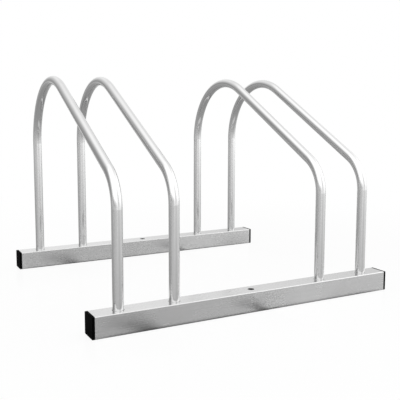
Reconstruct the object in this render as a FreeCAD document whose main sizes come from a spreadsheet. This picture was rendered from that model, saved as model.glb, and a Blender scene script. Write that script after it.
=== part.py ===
import FreeCAD, Part
import math
import os
import Sketcher

# Floor rack for two bicycles: two square rails on the floor and four bent tube hoops standing in them.
# X runs along the rails, Y from the front rail to the rear rail and Z up.
# The origin is on the floor, in the middle of the rack. Lengths are in millimetres, angles in degrees.

# Driving dimensions: name, value and what it measures
DIMENSIONS = [
    ("leg_spacing", 333.0, "front rail centre line to rear rail centre line"),
    ("bay_pitch", 274.0, "middle of one wheel slot to the middle of the other"),
    ("tyre_gap", 55.5, "clear width between the two hoops of a pair"),
    ("rail_overhang", 30.8, "outer leg axis to the end of the rail tube"),
    ("rail_side", 25.0, "outer side of the square rail tube"),
    ("rail_wall", 2.0, "wall of the rail tube"),
    ("rail_corner", 1.0, "outer corner radius of the rail tube"),
    ("rail_inner_corner", 0.8, "inner corner radius of the rail tube"),
    ("hoop_height", 286.0, "floor to the top of the hoop"),
    ("rear_bend", 92.0, "centre line radius of the high rear bend"),
    ("front_bend", 47.0, "centre line radius of the low front bend"),
    ("slope_angle", 28.0, "fall of the straight stretch towards the front"),
    ("tube_diameter", 12.5, "outside diameter of the hoop tube"),
    ("tube_wall", 1.2, "wall of the hoop tube"),
    ("leg_clearance", 0.35, "gap between a leg and the edge of its hole"),
    ("hole_bevel", 0.4, "bevel round the mouth of a leg hole"),
    ("floor_hole", 8.0, "diameter of the hole for a floor bolt"),
    ("plug_length", 16.0, "length of the threaded plug in a leg"),
    ("plug_bevel", 0.8, "bevel at the leading edge of the plug"),
    ("plug_clearance", 0.05, "gap between the plug and the tube"),
    ("screw_diameter", 5.0, "outside diameter of the screw thread"),
    ("screw_length", 16.0, "length of the screw with its head"),
    ("screw_tip", 0.6, "bevel at the tip of the screw"),
    ("head_diameter", 9.3, "diameter of the countersunk head"),
    ("head_recess", 0.2, "depth of the head below the face of the rail"),
    ("head_clearance", 0.1, "gap between the head and its countersink"),
    ("shank_clearance", 0.3, "gap between the screw and the hole in the rail"),
    ("thread_clearance", 0.05, "gap between the screw and the bore of the plug"),
    ("socket_flats", 3.0, "width across the flats of the screw's hexagon socket"),
    ("socket_depth", 1.8, "depth of the hexagon socket"),
    ("cap_flange", 3.2, "thickness of the end cap's flange"),
    ("cap_edge", 0.4, "rounding of the flange's outer edge"),
    ("skirt_length", 14.0, "depth of the end cap's skirt inside the rail"),
    ("skirt_wall", 1.5, "wall of the skirt"),
    ("skirt_clearance", 0.6, "gap between the skirt and the rail"),
    ("rib_clearance", 0.1, "gap between a rib of the skirt and the rail"),
    ("rib_width", 1.0, "width of a rib"),
    ("rib_pitch", 4.0, "flange to the first rib, and from rib to rib"),
    ("overcut", 1.0, "reach of a cutting outline past the face that it opens"),
]
RIB_COUNT = 3

FULL_TURN = 360.0
HALF_TURN = 180.0
UPRIGHT = FreeCAD.Vector(0, 0, 1)

# How closely a face is found at its place, in millimetres, and a swept volume is met, as a share
PLACE_TOLERANCE = 1e-6
VOLUME_TOLERANCE = 1e-3

# Lengths that follow from the driving dimensions
HOOP_PITCH = "(sizes.tyre_gap + sizes.tube_diameter)"
OUTER_LEG = "((sizes.bay_pitch + " + HOOP_PITCH + ") / 2)"
INNER_LEG = "((sizes.bay_pitch - " + HOOP_PITCH + ") / 2)"
RAIL_HALF_LENGTH = "(" + OUTER_LEG + " + sizes.rail_overhang)"
RAIL_HALF_SIDE = "(sizes.rail_side / 2)"
RAIL_INNER_HALF = "(" + RAIL_HALF_SIDE + " - sizes.rail_wall)"
TUBE_RADIUS = "(sizes.tube_diameter / 2)"
TUBE_BORE = "(" + TUBE_RADIUS + " - sizes.tube_wall)"
SCREW_RADIUS = "(sizes.screw_diameter / 2)"
HEAD_RADIUS = "(sizes.head_diameter / 2)"
SKIRT_HALF = "(" + RAIL_INNER_HALF + " - sizes.skirt_clearance)"

# Where the hoops stand along the rails, and where the rails lie from front to rear
HOOP_PLACES = {
    "left_outer": "-" + OUTER_LEG,
    "left_inner": "-" + INNER_LEG,
    "right_inner": INNER_LEG,
    "right_outer": OUTER_LEG,
}
RAIL_PLACES = {
    "front": "-sizes.leg_spacing / 2",
    "rear": "sizes.leg_spacing / 2",
}
# Which way a cap faces at each end of a rail: its place along X and its turn about Z
CAP_PLACES = {
    "left": ("-" + RAIL_HALF_LENGTH, HALF_TURN),
    "right": (RAIL_HALF_LENGTH, 0.0),
}

# Index numbers that sketch constraints use for the origin, a curve's ends and a circle's centre
ORIGIN_INDEX = -1
START_INDEX = 1
END_INDEX = 2
CENTRE_INDEX = 3

document = FreeCAD.newDocument("bike_rack")
sheet = document.addObject("Spreadsheet::Sheet", "sizes")
for row, (alias, size, note) in enumerate(DIMENSIONS, start=1):
    sheet.set("A%d" % row, alias)
    sheet.set("B%d" % row, str(size))
    sheet.setAlias("B%d" % row, alias)
    sheet.set("C%d" % row, note)
document.recompute()


def number(expression):
    """Present value of an expression over the sheet."""
    return float(sheet.evalExpression(expression))


def new_body(label, across="0", along="0", up="0", turn=0.0):
    """Empty sub-part whose place follows the sheet."""
    body = document.addObject("PartDesign::Body", label)
    body.Label = label
    body.Placement.Rotation = FreeCAD.Rotation(UPRIGHT, turn)
    body.setExpression("Placement.Base.x", across)
    body.setExpression("Placement.Base.y", along)
    body.setExpression("Placement.Base.z", up)
    return body


def new_sketch(body, name, plane_role, shift_x="0", shift_y="0", lift="0"):
    """Sketch on one of the body's own planes, shifted in the plane and lifted off it."""
    sketch = body.newObject("Sketcher::SketchObject", name)
    planes = [item for item in body.Origin.OriginFeatures if item.Role == plane_role]
    sketch.AttachmentSupport = [(planes[0], "")]
    sketch.MapMode = "FlatFace"
    sketch.setExpression("AttachmentOffset.Base.x", shift_x)
    sketch.setExpression("AttachmentOffset.Base.y", shift_y)
    sketch.setExpression("AttachmentOffset.Base.z", lift)
    return sketch


def bind(sketch, kind, references, expression):
    """Dimension in a sketch that follows the sheet."""
    index = sketch.addConstraint(Sketcher.Constraint(kind, *references, number(expression)))
    sketch.setExpression("Constraints[%d]" % index, expression)


def place_point(sketch, curve, point, across, up):
    """Hold one point of a curve at a place that follows the sheet."""
    bind(sketch, "DistanceX", (ORIGIN_INDEX, START_INDEX, curve, point), across)
    bind(sketch, "DistanceY", (ORIGIN_INDEX, START_INDEX, curve, point), up)


def draw_outline(sketch, corners):
    """Closed outline of straight lines through corners that follow the sheet."""
    points = [FreeCAD.Vector(number(across), number(up), 0) for across, up in corners]
    lines = [
        sketch.addGeometry(Part.LineSegment(start, end), False)
        for start, end in zip(points, points[1:] + points[:1])
    ]
    for line, following in zip(lines, lines[1:] + lines[:1]):
        sketch.addConstraint(Sketcher.Constraint("Coincident", line, END_INDEX, following, START_INDEX))
    for line, (across, up) in zip(lines, corners):
        place_point(sketch, line, START_INDEX, across, up)


def draw_circle(sketch, radius):
    """Circle about the sketch's origin."""
    circle = sketch.addGeometry(Part.Circle(FreeCAD.Vector(), UPRIGHT, number(radius)), False)
    sketch.addConstraint(Sketcher.Constraint("Coincident", circle, CENTRE_INDEX, ORIGIN_INDEX, START_INDEX))
    bind(sketch, "Radius", (circle,), radius)


def draw_rounded_square(sketch, half_side, radius):
    """Square with rounded corners about the sketch's origin."""
    corner_centre = "(" + half_side + " - " + radius + ")"
    inset = number(corner_centre)
    round_radius = number(radius)
    quarter = math.pi / 2
    signs = [("", ""), ("-", ""), ("-", "-"), ("", "-")]
    arcs = []
    for turn, (sign_x, sign_y) in enumerate(signs):
        centre = FreeCAD.Vector(-inset if sign_x else inset, -inset if sign_y else inset, 0)
        corner = Part.Circle(centre, UPRIGHT, round_radius)
        arc = Part.ArcOfCircle(corner, turn * quarter, (turn + 1) * quarter)
        arcs.append(sketch.addGeometry(arc, False))
    for arc, following in zip(arcs, arcs[1:] + arcs[:1]):
        start = sketch.getPoint(arc, END_INDEX)
        end = sketch.getPoint(following, START_INDEX)
        side = sketch.addGeometry(Part.LineSegment(start, end), False)
        sketch.addConstraint(Sketcher.Constraint("Tangent", arc, END_INDEX, side, START_INDEX))
        sketch.addConstraint(Sketcher.Constraint("Tangent", side, END_INDEX, following, START_INDEX))
    for arc, (sign_x, sign_y) in zip(arcs, signs):
        place_point(sketch, arc, CENTRE_INDEX, sign_x + corner_centre, sign_y + corner_centre)
        bind(sketch, "Radius", (arc,), radius)


def add_pad(body, name, profile, length, backwards=False, both_ways=False):
    """Raise a profile into a solid."""
    pad = body.newObject("PartDesign::Pad", name)
    pad.Profile = profile
    pad.SideType = "Symmetric" if both_ways else "One side"
    pad.Reversed = backwards
    pad.setExpression("Length", length)
    document.recompute()
    return pad


def add_turned(body, kind, name, profile):
    """Turn a profile about its own upright axis, as a solid or as a cut."""
    turned = body.newObject("PartDesign::" + kind, name)
    turned.Profile = profile
    turned.ReferenceAxis = (profile, ["V_Axis"])
    turned.Angle = FULL_TURN
    document.recompute()
    return turned


def make_rail(end):
    """Square tube with a leg hole and a countersunk screw hole for each hoop, and a floor hole."""
    body = new_body("rail_" + end, along=RAIL_PLACES[end])
    section = new_sketch(body, "section", "YZ_Plane", shift_y=RAIL_HALF_SIDE)
    draw_rounded_square(section, RAIL_HALF_SIDE, "sizes.rail_corner")
    draw_rounded_square(section, RAIL_INNER_HALF, "sizes.rail_inner_corner")
    add_pad(body, "tube", section, "2 * " + RAIL_HALF_LENGTH, both_ways=True)

    hole_radius = "(" + TUBE_RADIUS + " + sizes.leg_clearance)"
    shank_radius = "(" + SCREW_RADIUS + " + sizes.shank_clearance)"
    sink_radius = "(" + HEAD_RADIUS + " + sizes.head_recess + sizes.head_clearance)"
    for place, across in HOOP_PLACES.items():
        outline = new_sketch(body, "outline_" + place, "XZ_Plane", shift_x=across)
        draw_outline(outline, [
            ("0", "-sizes.overcut"),
            (sink_radius + " + sizes.overcut", "-sizes.overcut"),
            (shank_radius, sink_radius + " - " + shank_radius),
            (shank_radius, RAIL_HALF_SIDE),
            (hole_radius, RAIL_HALF_SIDE),
            (hole_radius, "sizes.rail_side - sizes.hole_bevel"),
            (hole_radius + " + sizes.hole_bevel + sizes.overcut", "sizes.rail_side + sizes.overcut"),
            ("0", "sizes.rail_side + sizes.overcut"),
        ])
        add_turned(body, "Groove", "leg_hole_" + place, outline)

    floor_circle = new_sketch(body, "floor_circle", "XY_Plane")
    draw_circle(floor_circle, "sizes.floor_hole / 2")
    floor_hole = body.newObject("PartDesign::Pocket", "floor_bolt_hole")
    floor_hole.Profile = floor_circle
    floor_hole.Type = "ThroughAll"
    floor_hole.Reversed = True
    document.recompute()
    return body


def make_hoop(place):
    """Round tube bent from the rear leg over the high bend, down the slope and into the front leg."""
    body = new_body("hoop_" + place, across=HOOP_PLACES[place])
    rear = "(sizes.leg_spacing / 2)"
    bend_height = "(sizes.hoop_height - " + TUBE_RADIUS + " - sizes.rear_bend)"

    # A first shape for the centre line, from the bend centres and the direction square to the slope
    slope = math.radians(number("sizes.slope_angle"))
    square_to_slope = FreeCAD.Vector(-math.sin(slope), math.cos(slope), 0)
    rear_radius = number("sizes.rear_bend")
    front_radius = number("sizes.front_bend")
    foot_height = number("sizes.rail_wall")
    rear_across = number(rear)
    rear_centre = FreeCAD.Vector(rear_across - rear_radius, number(bend_height), 0)
    slope_top = rear_centre + square_to_slope * rear_radius
    front_end_across = front_radius * (1 - math.sin(slope)) - rear_across
    fall = (slope_top.x - front_end_across) * math.tan(slope)
    slope_foot = FreeCAD.Vector(front_end_across, slope_top.y - fall, 0)
    front_centre = slope_foot - square_to_slope * front_radius
    slope_turn = math.pi / 2 + slope

    path = new_sketch(body, "centre_line", "YZ_Plane")
    rear_leg = path.addGeometry(Part.LineSegment(
        FreeCAD.Vector(rear_across, foot_height, 0),
        FreeCAD.Vector(rear_across, rear_centre.y, 0)), False)
    rear_bend = path.addGeometry(Part.ArcOfCircle(
        Part.Circle(rear_centre, UPRIGHT, rear_radius), 0, slope_turn), False)
    sloping_run = path.addGeometry(Part.LineSegment(slope_top, slope_foot), False)
    front_bend = path.addGeometry(Part.ArcOfCircle(
        Part.Circle(front_centre, UPRIGHT, front_radius), slope_turn, math.pi), False)
    front_leg = path.addGeometry(Part.LineSegment(
        FreeCAD.Vector(-rear_across, front_centre.y, 0),
        FreeCAD.Vector(-rear_across, foot_height, 0)), False)
    runs = [rear_leg, rear_bend, sloping_run, front_bend, front_leg]
    for run, following in zip(runs, runs[1:]):
        path.addConstraint(Sketcher.Constraint("Tangent", run, END_INDEX, following, START_INDEX))
    path.addConstraint(Sketcher.Constraint("Vertical", rear_leg))
    path.addConstraint(Sketcher.Constraint("Vertical", front_leg))
    place_point(path, rear_leg, START_INDEX, rear, "sizes.rail_wall")
    place_point(path, front_leg, END_INDEX, "-" + rear, "sizes.rail_wall")
    bind(path, "Radius", (rear_bend,), "sizes.rear_bend")
    bind(path, "Radius", (front_bend,), "sizes.front_bend")
    bind(path, "DistanceY", (ORIGIN_INDEX, START_INDEX, rear_bend, CENTRE_INDEX), bend_height)
    # The sloping run is drawn towards the front, so its direction is past the half turn by the fall
    slope_rule = path.addConstraint(Sketcher.Constraint("Angle", sloping_run, math.pi + slope))
    path.setExpression("Constraints[%d]" % slope_rule, "(%g + sizes.slope_angle) * 1 deg" % HALF_TURN)

    section = new_sketch(body, "section", "XY_Plane", shift_y=rear, lift="sizes.rail_wall")
    draw_circle(section, TUBE_RADIUS)
    draw_circle(section, TUBE_BORE)
    document.recompute()
    tube = body.newObject("PartDesign::AdditivePipe", "bent_tube")
    tube.Profile = section
    tube.Spine = (path, ["Edge%d" % edge for edge in range(1, len(runs) + 1)])
    document.recompute()

    ring_area = math.pi * (number(TUBE_RADIUS) ** 2 - number(TUBE_BORE) ** 2)
    swept_volume = ring_area * path.Shape.Length
    if not math.isclose(body.Shape.Volume, swept_volume, rel_tol=VOLUME_TOLERANCE):
        raise RuntimeError("%s holds %.1f, not %.1f" % (body.Label, body.Shape.Volume, swept_volume))
    return body


def make_end_cap(end, side):
    """Flange over the end of a rail, with a ribbed hollow skirt that grips inside it."""
    across, turn = CAP_PLACES[side]
    label = "end_cap_%s_%s" % (end, side)
    body = new_body(label, across=across, along=RAIL_PLACES[end], up=RAIL_HALF_SIDE, turn=turn)
    flange_square = new_sketch(body, "flange_square", "YZ_Plane")
    draw_rounded_square(flange_square, RAIL_HALF_SIDE, "sizes.rail_corner")
    flange = add_pad(body, "flange", flange_square, "sizes.cap_flange")

    outer_faces = [
        "Face%d" % index
        for index, face in enumerate(flange.Shape.Faces, start=1)
        if math.isclose(face.BoundBox.XMin, number("sizes.cap_flange"), abs_tol=PLACE_TOLERANCE)
    ]
    rounding = body.newObject("PartDesign::Fillet", "flange_rounding")
    rounding.Base = (flange, outer_faces)
    rounding.setExpression("Radius", "sizes.cap_edge")
    document.recompute()

    skirt_inner = "(" + SKIRT_HALF + " - sizes.skirt_wall)"
    skirt_square = new_sketch(body, "skirt_square", "YZ_Plane")
    draw_rounded_square(skirt_square, SKIRT_HALF, "sizes.rail_inner_corner")
    draw_rounded_square(skirt_square, skirt_inner, "sizes.rail_inner_corner")
    add_pad(body, "skirt", skirt_square, "sizes.skirt_length", backwards=True)

    rib_square = new_sketch(body, "rib_square", "YZ_Plane", lift="-sizes.rib_pitch")
    rib_half = "(" + RAIL_INNER_HALF + " - sizes.rib_clearance)"
    draw_rounded_square(rib_square, rib_half, "sizes.rail_inner_corner")
    draw_rounded_square(rib_square, skirt_inner, "sizes.rail_inner_corner")
    rib = add_pad(body, "rib", rib_square, "sizes.rib_width", both_ways=True)
    ribs = body.newObject("PartDesign::LinearPattern", "ribs")
    ribs.Originals = [rib]
    ribs.Direction = (rib_square, ["N_Axis"])
    ribs.Reversed = True
    ribs.setExpression("Length", "sizes.rib_pitch * %d" % (RIB_COUNT - 1))
    ribs.Occurrences = RIB_COUNT
    body.Tip = ribs
    document.recompute()
    return body


def make_leg_plug(place, end):
    """Threaded plug pressed into the foot of a leg, flush with the end of the tube."""
    label = "leg_plug_%s_%s" % (place, end)
    body = new_body(label, across=HOOP_PLACES[place], along=RAIL_PLACES[end], up="sizes.rail_wall")
    outer = "(" + TUBE_BORE + " - sizes.plug_clearance)"
    bore = "(" + SCREW_RADIUS + " + sizes.thread_clearance)"
    # The mouth opens far enough for what is left of the screw's cone above the rail floor
    cone_left = HEAD_RADIUS + " + sizes.head_recess + sizes.head_clearance - sizes.rail_wall"
    mouth = "max(" + bore + " + sizes.head_clearance; " + cone_left + ")"
    outline = new_sketch(body, "outline", "XZ_Plane")
    draw_outline(outline, [
        (mouth, "0"),
        (outer, "0"),
        (outer, "sizes.plug_length - sizes.plug_bevel"),
        (outer + " - sizes.plug_bevel", "sizes.plug_length"),
        (bore, "sizes.plug_length"),
        (bore, mouth + " - " + bore),
    ])
    add_turned(body, "Revolution", "turned_plug", outline)
    return body


def make_leg_screw(place, end):
    """Countersunk screw with a hexagon socket, its head just below the face of the rail."""
    label = "leg_screw_%s_%s" % (place, end)
    body = new_body(label, across=HOOP_PLACES[place], along=RAIL_PLACES[end], up="sizes.head_recess")
    outline = new_sketch(body, "outline", "XZ_Plane")
    draw_outline(outline, [
        ("0", "0"),
        (HEAD_RADIUS, "0"),
        (SCREW_RADIUS, HEAD_RADIUS + " - " + SCREW_RADIUS),
        (SCREW_RADIUS, "sizes.screw_length - sizes.screw_tip"),
        (SCREW_RADIUS + " - sizes.screw_tip", "sizes.screw_length"),
        ("0", "sizes.screw_length"),
    ])
    add_turned(body, "Revolution", "turned_screw", outline)

    hexagon = new_sketch(body, "hexagon", "XY_Plane")
    half_flats = "(sizes.socket_flats / 2)"
    reach = "(sizes.socket_flats / sqrt(3))"
    draw_outline(hexagon, [
        (reach, "0"),
        (reach + " / 2", half_flats),
        ("-" + reach + " / 2", half_flats),
        ("-" + reach, "0"),
        ("-" + reach + " / 2", "-" + half_flats),
        (reach + " / 2", "-" + half_flats),
    ])
    socket = body.newObject("PartDesign::Pocket", "socket")
    socket.Profile = hexagon
    socket.Reversed = True
    socket.setExpression("Length", "sizes.socket_depth")
    document.recompute()
    return body


def check_document(bodies):
    """Stop if any object failed, any cut removed nothing or any sub-part isn't one sound solid."""
    for item in document.Objects:
        if "Invalid" in item.State or "Error" in item.State:
            raise RuntimeError("%s failed: %s" % (item.Label, item.State))
        if item.TypeId in ("PartDesign::Groove", "PartDesign::Pocket"):
            if item.Shape.Volume >= item.BaseFeature.Shape.Volume:
                raise RuntimeError("%s cuts nothing" % item.Label)
    for body in bodies:
        shape = body.Shape
        if shape.isNull() or not shape.isValid() or len(shape.Solids) != 1:
            raise RuntimeError("%s isn't one sound solid" % body.Label)


bodies = [make_rail(end) for end in RAIL_PLACES]
bodies += [make_hoop(place) for place in HOOP_PLACES]
bodies += [make_end_cap(end, side) for end in RAIL_PLACES for side in CAP_PLACES]
bodies += [make_leg_plug(place, end) for place in HOOP_PLACES for end in RAIL_PLACES]
bodies += [make_leg_screw(place, end) for place in HOOP_PLACES for end in RAIL_PLACES]
document.recompute()
check_document(bodies)

os.makedirs("parts", exist_ok=True)
for body in bodies:
    body.Shape.exportStep("parts/%s.step" % body.Label)
    print("%-34s %10.1f mm3" % (body.Label, body.Shape.Volume))
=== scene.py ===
"""Looks of the floor bike rack: materials on the CAD pieces, a white studio and the photograph's camera."""

import math

import bpy
from mathutils import Euler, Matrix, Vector


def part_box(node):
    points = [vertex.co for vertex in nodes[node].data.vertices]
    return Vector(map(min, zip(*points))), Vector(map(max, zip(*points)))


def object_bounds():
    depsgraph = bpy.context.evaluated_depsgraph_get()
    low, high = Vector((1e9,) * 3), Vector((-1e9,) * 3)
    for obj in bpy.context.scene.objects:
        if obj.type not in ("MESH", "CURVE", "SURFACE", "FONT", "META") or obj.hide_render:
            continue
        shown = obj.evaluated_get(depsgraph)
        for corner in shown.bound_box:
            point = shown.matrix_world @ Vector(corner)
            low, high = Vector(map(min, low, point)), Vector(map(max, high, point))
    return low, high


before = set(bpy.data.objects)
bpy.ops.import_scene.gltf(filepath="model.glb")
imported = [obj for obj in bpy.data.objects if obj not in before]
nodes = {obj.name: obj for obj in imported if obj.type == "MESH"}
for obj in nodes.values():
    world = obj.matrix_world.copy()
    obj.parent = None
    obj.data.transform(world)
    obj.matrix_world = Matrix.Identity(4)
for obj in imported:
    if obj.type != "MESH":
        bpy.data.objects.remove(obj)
cad_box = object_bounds()

# Camera, fitted to the rails' edges and the hoops' outlines in the photograph
PHOTO_PIXELS = 400
FOCAL_PIXELS = 647.80
AXIS_PIXEL = (192.40, 177.13)
SENSOR_WIDTH = 36.0
CAMERA_PLACE = (-0.41542, -0.81107, 0.24724)
CAMERA_TURN = (83.577, 0.0, -27.500)

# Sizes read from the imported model
low_corner, high_corner = cad_box
OBJECT_CENTRE = (low_corner + high_corner) / 2
HALF_LENGTH = high_corner.x - OBJECT_CENTRE.x
FRONT_RAIL_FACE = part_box("rail_front")[0].y
FRONT_RAIL_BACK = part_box("rail_front")[1].y
REAR_RAIL_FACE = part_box("rail_rear")[0].y
hoop_low, hoop_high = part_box("hoop_left_outer")
TUBE_RADIUS = (hoop_high.x - hoop_low.x) / 2

# Metal: cells per metre, then how far tone and roughness vary
TUBE_LINES = (1400.0, 3.0)
TUBE_MARKS = (260.0, 30.0)
RAIL_LINES = (8.0, 1400.0, 1400.0)
RAIL_MARKS = (30.0, 260.0, 260.0)
FASTENER_LINES = (900.0, 900.0, 900.0)
FASTENER_MARKS = (200.0, 200.0, 200.0)
CLOUDS = (40.0, 40.0, 40.0)
LINE_DETAIL = 3.0
CLOUD_DETAIL = 3.0
MARK_DETAIL = 2.0
MARK_RANGE = (0.64, 0.74)
METAL_TONE = 0.7
LINE_TONE = 0.01
CLOUD_TONE = 0.006
MARK_TONE = 0.02
HOOP_ROUGHNESS = 0.12
RAIL_ROUGHNESS = 0.24
FASTENER_ROUGHNESS = 0.32
LINE_ROUGHNESS = 0.03
CLOUD_ROUGHNESS = 0.02
MARK_ROUGHNESS = 0.06
LINE_DEPTH = 0.000002

# Plastic
GRAINS = (3000.0, 3000.0, 3000.0)
GRAIN_DETAIL = 2.0
GRAIN_DEPTH = 0.00002
PLASTIC_TONE = (0.0015, 0.003)
PLASTIC_ROUGHNESS = (0.42, 0.55)
PLASTIC_SPECULAR = 0.003

# Floor and world: a fade has its values near and far, then its centre and the two distances
FLOOR_SIZE = 8.0
FLOOR_GAP = 0.0003
LAYER_GAP = 0.00003
FLOOR_ROUGHNESS = 0.18
FLOOR_SPECULAR = 0.39
CAMERA_WHITE = (0.9, 1.0)
CAMERA_FADE = ((0.0, 0.0, 0.0), 0.2, 0.9)
# Painted light and shade of the floor in reflections: its glow near and far, darkest round a place behind
# the rack
REFLECTED_GLOW_WITH_PAINTED_SHADE = (0.34, 0.51)
PAINTED_SHADE_FADE = ((-0.33, 0.72, 0.0), 0.6, 3.3)
WORLD_LIGHT = 0.5
CARD_DISTANCE = 3.0
# Tone of the pale floor veils that paint light, which only reflections show
PALE_TONE = 0.85
BETWEEN_DEPTH = 0.13

# Most of a noise texture's values lie between these
NOISE_LOW = 0.3
NOISE_HIGH = 0.7


def add_node(tree, kind, **settings):
    """A new node with its own settings, such as its operation."""
    made = tree.nodes.new(kind)
    for name, value in settings.items():
        setattr(made, name, value)
    return made


def feed(tree, socket, value):
    """Puts a number, a colour or another node's output into an input."""
    if isinstance(value, bpy.types.NodeSocket):
        tree.links.new(value, socket)
    else:
        socket.default_value = value


def calculate(tree, operation, first, second=0.0):
    """The result of a Math node."""
    made = add_node(tree, "ShaderNodeMath", operation=operation)
    feed(tree, made.inputs[0], first)
    feed(tree, made.inputs[1], second)
    return made.outputs["Value"]


def spread(tree, value, low, high, start=NOISE_LOW, end=NOISE_HIGH):
    """A value that runs from start to end, spread smoothly over low to high."""
    made = add_node(tree, "ShaderNodeMapRange", interpolation_type="SMOOTHSTEP")
    feed(tree, made.inputs["Value"], value)
    feed(tree, made.inputs["From Min"], start)
    feed(tree, made.inputs["From Max"], end)
    feed(tree, made.inputs["To Min"], low)
    feed(tree, made.inputs["To Max"], high)
    return made.outputs["Result"]


def noise(tree, place, detail):
    """Noise at a texture place, one cell per unit."""
    made = add_node(tree, "ShaderNodeTexNoise")
    feed(tree, made.inputs["Vector"], place)
    feed(tree, made.inputs["Scale"], 1.0)
    feed(tree, made.inputs["Detail"], detail)
    return made.outputs["Fac"]


def row_place(tree, per_metre):
    """Place in the part's own frame, with so many texture cells per metre along each axis."""
    coordinates = add_node(tree, "ShaderNodeTexCoord")
    mapping = add_node(tree, "ShaderNodeMapping")
    feed(tree, mapping.inputs["Vector"], coordinates.outputs["Object"])
    feed(tree, mapping.inputs["Scale"], per_metre)
    return mapping.outputs["Vector"]


def tube_place(tree, per_metre):
    """Place on a bent tube, with cells per metre around and along it.

    How far round it is comes from the normal, so that lines follow the bends."""
    around_per_metre, along_per_metre = per_metre
    geometry = add_node(tree, "ShaderNodeNewGeometry")
    normal = add_node(tree, "ShaderNodeSeparateXYZ")
    feed(tree, normal.inputs["Vector"], geometry.outputs["Normal"])
    angle = calculate(tree, "ARCCOSINE", normal.outputs["X"])
    around = calculate(tree, "MULTIPLY", angle, TUBE_RADIUS * around_per_metre)
    along = add_node(tree, "ShaderNodeSeparateXYZ")
    feed(tree, along.inputs["Vector"], row_place(tree, (along_per_metre, along_per_metre, along_per_metre)))
    place = add_node(tree, "ShaderNodeCombineXYZ")
    feed(tree, place.inputs["X"], around)
    feed(tree, place.inputs["Y"], calculate(tree, "ADD", along.outputs["X"], along.outputs["Y"]))
    feed(tree, place.inputs["Z"], along.outputs["Z"])
    return place.outputs["Vector"]


def new_material(name):
    """A material with only its output: the material, its tree and the input for its surface."""
    material = bpy.data.materials.new(name)
    material.use_nodes = True
    tree = material.node_tree
    tree.nodes.clear()
    output = add_node(tree, "ShaderNodeOutputMaterial")
    return material, tree, output.inputs["Surface"]


def grey(tree, value):
    """A neutral colour from one value."""
    made = add_node(tree, "ShaderNodeCombineColor")
    for channel in ("Red", "Green", "Blue"):
        feed(tree, made.inputs[channel], value)
    return made.outputs["Color"]


def glow(tree, tone):
    """Light of its own, in a neutral tone."""
    made = add_node(tree, "ShaderNodeEmission")
    feed(tree, made.inputs["Color"], (tone, tone, tone, 1.0))
    return made.outputs["Emission"]


def mix_shaders(tree, share, first, second):
    """The first shader, with that share of the second."""
    made = add_node(tree, "ShaderNodeMixShader")
    feed(tree, made.inputs[0], share)
    feed(tree, made.inputs[1], first)
    feed(tree, made.inputs[2], second)
    return made.outputs["Shader"]


def add_bump(tree, shader, height, depth):
    """Bump of that depth, in metres, from a height of 0 to 1."""
    made = add_node(tree, "ShaderNodeBump")
    feed(tree, made.inputs["Strength"], 1.0)
    feed(tree, made.inputs["Distance"], depth)
    feed(tree, made.inputs["Height"], height)
    feed(tree, shader.inputs["Normal"], made.outputs["Normal"])


def make_metal(name, place, line_cells, mark_cells, roughness):
    """Plated steel: fine drawn lines, slow clouds in its tone and polish, and faint rubbed marks."""
    material, tree, surface = new_material(name)
    shader = add_node(tree, "ShaderNodeBsdfPrincipled")
    feed(tree, surface, shader.outputs["BSDF"])
    feed(tree, shader.inputs["Metallic"], 1.0)
    lines = noise(tree, place(tree, line_cells), LINE_DETAIL)
    clouds = noise(tree, row_place(tree, CLOUDS), CLOUD_DETAIL)
    marks = spread(tree, noise(tree, place(tree, mark_cells), MARK_DETAIL), 0.0, 1.0, *MARK_RANGE)

    line_tone = spread(tree, lines, -LINE_TONE, LINE_TONE)
    cloud_tone = spread(tree, clouds, METAL_TONE - CLOUD_TONE, METAL_TONE + CLOUD_TONE)
    mark_tone = calculate(tree, "MULTIPLY", marks, MARK_TONE)
    clean_tone = calculate(tree, "ADD", line_tone, cloud_tone)
    feed(tree, shader.inputs["Base Color"], grey(tree, calculate(tree, "SUBTRACT", clean_tone, mark_tone)))

    line_rough = spread(tree, lines, -LINE_ROUGHNESS, LINE_ROUGHNESS)
    cloud_rough = spread(tree, clouds, roughness - CLOUD_ROUGHNESS, roughness + CLOUD_ROUGHNESS)
    mark_rough = calculate(tree, "MULTIPLY", marks, MARK_ROUGHNESS)
    clean_rough = calculate(tree, "ADD", line_rough, cloud_rough)
    feed(tree, shader.inputs["Roughness"], calculate(tree, "ADD", clean_rough, mark_rough))
    add_bump(tree, shader, lines, LINE_DEPTH)
    return material


def make_plastic(name):
    """Black moulded plastic with a fine grain."""
    material, tree, surface = new_material(name)
    shader = add_node(tree, "ShaderNodeBsdfPrincipled")
    feed(tree, surface, shader.outputs["BSDF"])
    grain = noise(tree, row_place(tree, GRAINS), GRAIN_DETAIL)
    feed(tree, shader.inputs["Base Color"], grey(tree, spread(tree, grain, *PLASTIC_TONE)))
    feed(tree, shader.inputs["Roughness"], spread(tree, grain, *PLASTIC_ROUGHNESS))
    feed(tree, shader.inputs["Specular IOR Level"], PLASTIC_SPECULAR)
    add_bump(tree, shader, grain, GRAIN_DEPTH)
    return material


# Materials, by how the nodes' names start
materials = {
    "rail": make_metal("rail_zinc", row_place, RAIL_LINES, RAIL_MARKS, RAIL_ROUGHNESS),
    "hoop": make_metal("hoop_zinc", tube_place, TUBE_LINES, TUBE_MARKS, HOOP_ROUGHNESS),
    "end_cap": make_plastic("black_plastic"),
    "leg_plug": make_metal("plug_steel_bare", row_place, FASTENER_LINES, FASTENER_MARKS, FASTENER_ROUGHNESS),
    "leg_screw": make_metal("screw_zinc", row_place, FASTENER_LINES, FASTENER_MARKS, FASTENER_ROUGHNESS),
}
for name, node in nodes.items():
    kind = next(start for start in materials if name.startswith(start))
    for index in range(len(node.material_slots)):
        node.material_slots[index].material = materials[kind]


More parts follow.
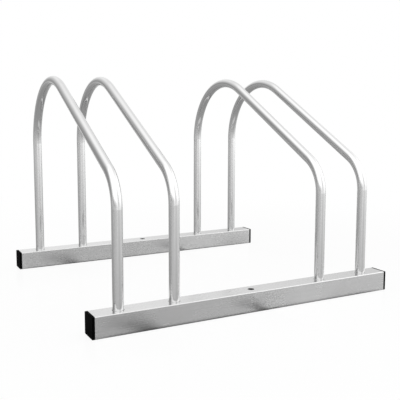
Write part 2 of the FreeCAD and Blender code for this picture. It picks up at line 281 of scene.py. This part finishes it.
def fade_out(tree, near, far, centre, inner, outer):
    """near within a circle on the floor, and far well away from it."""
    coordinates = add_node(tree, "ShaderNodeTexCoord")
    distance = add_node(tree, "ShaderNodeVectorMath", operation="DISTANCE")
    feed(tree, distance.inputs[0], coordinates.outputs["Object"])
    feed(tree, distance.inputs[1], centre)
    return spread(tree, distance.outputs["Value"], near, far, inner, outer)


def off_middle(tree, side):
    """0 in the middle of a side that runs from 0 to 1, and 1 at both of its ends."""
    doubled = calculate(tree, "MULTIPLY", side, 2.0)
    return calculate(tree, "ABSOLUTE", calculate(tree, "SUBTRACT", doubled, 1.0))


def edge_fade(tree, place, edge_across, edge_up, waist=1.0):
    """1 in the middle of a rectangle, falling to 0 at its edges over those shares of its half sides.

    A waist under 1 narrows it to that share of its width half way up."""
    sides = add_node(tree, "ShaderNodeSeparateXYZ")
    feed(tree, sides.inputs["Vector"], place)
    across = off_middle(tree, sides.outputs["X"])
    up = off_middle(tree, sides.outputs["Y"])
    if waist < 1.0:
        across = calculate(tree, "DIVIDE", across, spread(tree, up, waist, 1.0, 0.0, 1.0))
    across_share = spread(tree, across, 1.0, 0.0, 1.0 - edge_across, 1.0)
    up_share = spread(tree, up, 1.0, 0.0, 1.0 - edge_up, 1.0)
    return calculate(tree, "MULTIPLY", across_share, up_share)


def ray_kinds(tree):
    """1 for camera rays, and 1 for rays that a mirror or glass sends on."""
    path = add_node(tree, "ShaderNodeLightPath")
    mirrored = calculate(tree, "ADD", path.outputs["Is Glossy Ray"], path.outputs["Is Transmission Ray"])
    return path.outputs["Is Camera Ray"], mirrored


def add_plane(name, width, depth):
    """A level rectangle about its own middle."""
    corners = [(i * width / 2, j * depth / 2, 0.0) for i, j in ((-1, -1), (1, -1), (1, 1), (-1, 1))]
    mesh = bpy.data.meshes.new(name)
    mesh.from_pydata(corners, [], [(0, 1, 2, 3)])
    plane = bpy.data.objects.new(name, mesh)
    bpy.context.scene.collection.objects.link(plane)
    return plane


def make_floor(name):
    """A pale satin floor: white to the camera, and in reflections a grey glow of painted light and shade,
    darkest behind.
    """
    material, tree, surface = new_material(name)
    seen, mirrored = ray_kinds(tree)
    satin = add_node(tree, "ShaderNodeBsdfPrincipled")
    feed(tree, satin.inputs["Base Color"], grey(tree, spread(tree, mirrored, 1.0, 0.0, 0.0, 1.0)))
    feed(tree, satin.inputs["Roughness"], FLOOR_ROUGHNESS)
    feed(tree, satin.inputs["Specular IOR Level"], FLOOR_SPECULAR)
    feed(tree, satin.inputs["Emission Color"], (1.0, 1.0, 1.0, 1.0))
    # Painted shade in reflections: the floor's glow is darkest round a place behind the rack
    painted_reflected_glow = fade_out(tree, *REFLECTED_GLOW_WITH_PAINTED_SHADE, *PAINTED_SHADE_FADE)
    feed(tree, satin.inputs["Emission Strength"], calculate(tree, "MULTIPLY", mirrored, painted_reflected_glow))
    white_share = calculate(tree, "MULTIPLY", seen, fade_out(tree, *CAMERA_WHITE, *CAMERA_FADE))
    feed(tree, surface, mix_shaders(tree, white_share, satin.outputs["BSDF"], glow(tree, 1.0)))
    return material


# Floor
floor_height = low_corner.z - FLOOR_GAP
floor = add_plane("floor", FLOOR_SIZE, FLOOR_SIZE)
floor.location.z = floor_height
floor.data.materials.append(make_floor("floor_white"))

# World, white to the camera and in reflections
world = bpy.data.worlds.new("white_world")
bpy.context.scene.world = world
world.use_nodes = True
world_tree = world.node_tree
world_tree.nodes.clear()
world_output = add_node(world_tree, "ShaderNodeOutputWorld")
world_light = add_node(world_tree, "ShaderNodeBackground")
feed(world_tree, world_light.inputs["Color"], (1.0, 1.0, 1.0, 1.0))
to_white = calculate(world_tree, "ADD", *ray_kinds(world_tree))
feed(world_tree, world_light.inputs["Strength"], spread(world_tree, to_white, WORLD_LIGHT, 1.0, 0.0, 1.0))
feed(world_tree, world_output.inputs["Surface"], world_light.outputs["Background"])


def stand_round(item, azimuth, elevation, distance):
    """Puts a lamp or a card round the object, facing its middle.

    Azimuth 0 is behind the object and 90 at its right, in degrees."""
    a = math.radians(azimuth)
    e = math.radians(elevation)
    out = Vector((math.sin(a) * math.cos(e), math.cos(a) * math.cos(e), math.sin(e)))
    item.location = OBJECT_CENTRE + out * distance
    item.rotation_mode = "QUATERNION"
    item.rotation_quaternion = out.to_track_quat("Z", "Y")


def add_softbox(name, azimuth, elevation, distance, width, height, radiance, edge_across, edge_up):
    """A large soft area lamp that fades to its edges."""
    lamp = bpy.data.lights.new(name, "AREA")
    lamp.shape = "RECTANGLE"
    lamp.size = width
    lamp.size_y = height
    lamp.energy = radiance * math.pi * width * height
    lamp.use_nodes = True
    tree = lamp.node_tree
    light = next(node for node in tree.nodes if node.type == "EMISSION")
    geometry = add_node(tree, "ShaderNodeNewGeometry")
    middle = edge_fade(tree, geometry.outputs["Parametric"], edge_across, edge_up)
    feed(tree, light.inputs["Strength"], middle)
    box = bpy.data.objects.new(name, lamp)
    bpy.context.scene.collection.objects.link(box)
    box.visible_camera = False
    stand_round(box, azimuth, elevation, distance)


def add_veil(name, width, depth, tone, strength, edge_across, edge_up, waist=1.0):
    """A soft-edged rectangle of one tone, which only reflections show."""
    material, tree, surface = new_material(name)
    coordinates = add_node(tree, "ShaderNodeTexCoord")
    middle = edge_fade(tree, coordinates.outputs["Generated"], edge_across, edge_up, waist)
    clear = add_node(tree, "ShaderNodeBsdfTransparent")
    share = calculate(tree, "MULTIPLY", middle, strength)
    feed(tree, surface, mix_shaders(tree, share, clear.outputs["BSDF"], glow(tree, tone)))
    veil = add_plane(name, width, depth)
    veil.visible_camera = False
    veil.visible_diffuse = False
    veil.visible_shadow = False
    veil.data.materials.append(material)
    return veil


def add_card(name, azimuth, elevation, width, height, tone, edge_across, edge_up):
    """A grey card that stands off the object."""
    card = add_veil(name, width, height, tone, 1.0, edge_across, edge_up)
    stand_round(card, azimuth, elevation, CARD_DISTANCE)


painted_floor_veils = []


def add_painted_floor_veil(name, along, y, width, depth, strength, turn=0.0, tone=0.0,
              edge_across=1.0, edge_up=1.0, waist=1.0):
    """A veil just over the floor and the veils before it, turned to the left by so many degrees. It paints a
    shadow on the floor, or with a pale tone a patch of light, which only reflections show.

    along is its middle's place on the rails: -1 is their left end, and 1 their right end."""
    painted_veil = add_veil(name, width, depth, tone, strength, edge_across, edge_up, waist)
    painted_floor_veils.append(painted_veil)
    height = floor_height + LAYER_GAP * len(painted_floor_veils)
    painted_veil.location = (OBJECT_CENTRE.x + HALF_LENGTH * along, y, height)
    painted_veil.rotation_euler.z = -math.radians(turn)


# Lamps
add_softbox("softbox_top", azimuth=180.0, elevation=84.0, distance=1.6, width=2.6, height=3.2,
            radiance=0.45, edge_across=0.76, edge_up=0.76)
add_softbox("softbox_right", azimuth=112.0, elevation=24.0, distance=2.0, width=5.6, height=3.6,
            radiance=0.85, edge_across=1.0, edge_up=1.0)
add_softbox("softbox_front", azimuth=-143.0, elevation=40.0, distance=2.0, width=6.0, height=4.5,
            radiance=0.59, edge_across=0.9, edge_up=0.5)
add_softbox("softbox_back", azimuth=-20.0, elevation=33.0, distance=2.4, width=2.8, height=2.4,
            radiance=0.36, edge_across=0.9, edge_up=0.9)

# Grey cards, for the dark bands on the hoops and the rails' tops
add_card("card_left", azimuth=-44.0, elevation=12.0, width=8.0, height=6.6,
         tone=0.35, edge_across=0.78, edge_up=0.85)
add_card("card_low", azimuth=-124.0, elevation=-0.5, width=5.4, height=1.6,
         tone=0.44, edge_across=0.6, edge_up=0.7)
add_card("card_line", azimuth=164.0, elevation=18.0, width=0.3, height=2.9,
         tone=0.38, edge_across=0.6, edge_up=0.6)
add_card("card_back", azimuth=46.0, elevation=6.0, width=4.0, height=1.2,
         tone=0.5, edge_across=1.0, edge_up=1.0)

# Painted shadows on the floor, lowest first: dark veils that only reflections show, for the patches on the
# rails' faces, and two pale ones that paint light, for the tone of the rear legs and the front rail's face
add_painted_floor_veil("painted_light_between", along=0.0, y=FRONT_RAIL_BACK + BETWEEN_DEPTH / 2, width=0.46, depth=BETWEEN_DEPTH,
          strength=0.75, tone=PALE_TONE, edge_across=0.1, edge_up=0.6)
add_painted_floor_veil("painted_light_front_right", along=0.39, y=FRONT_RAIL_FACE, width=0.14, depth=0.4,
          strength=0.5, turn=-35.0, tone=PALE_TONE, waist=0.8)
add_painted_floor_veil("painted_shadow_rear_right", along=0.854, y=REAR_RAIL_FACE, width=0.14, depth=0.5,
          strength=0.14, turn=-28.0, waist=0.8)
add_painted_floor_veil("painted_shadow_front_edge", along=0.0, y=FRONT_RAIL_FACE, width=0.42, depth=0.02,
          strength=0.7, edge_across=0.2)
add_painted_floor_veil("painted_shadow_rear_edge", along=0.0, y=REAR_RAIL_FACE, width=0.42, depth=0.02,
          strength=0.7, edge_across=0.2)
add_painted_floor_veil("painted_shadow_front_left", along=-0.668, y=FRONT_RAIL_FACE, width=0.12, depth=0.17,
          strength=0.55, turn=14.0, waist=0.4)
add_painted_floor_veil("painted_shadow_front_middle", along=0.068, y=FRONT_RAIL_FACE, width=0.1, depth=0.16,
          strength=0.55, turn=6.0, waist=0.25)
add_painted_floor_veil("painted_shadow_rear_left", along=-0.585, y=REAR_RAIL_FACE, width=0.13, depth=0.22,
          strength=0.55, turn=13.0, waist=0.3)
add_painted_floor_veil("painted_shadow_rear_middle", along=0.351, y=REAR_RAIL_FACE, width=0.09, depth=0.22,
          strength=0.6, turn=7.0, waist=0.25)

# Camera
camera_data = bpy.data.cameras.new("camera")
camera_data.sensor_width = SENSOR_WIDTH
camera_data.lens = FOCAL_PIXELS * SENSOR_WIDTH / PHOTO_PIXELS
camera_data.shift_x = 0.5 - AXIS_PIXEL[0] / PHOTO_PIXELS
camera_data.shift_y = AXIS_PIXEL[1] / PHOTO_PIXELS - 0.5
camera = bpy.data.objects.new("camera", camera_data)
bpy.context.scene.collection.objects.link(camera)
camera.location = CAMERA_PLACE
camera.rotation_euler = Euler([math.radians(angle) for angle in CAMERA_TURN])
bpy.context.scene.camera = camera
bpy.context.scene.view_settings.view_transform = "Standard"
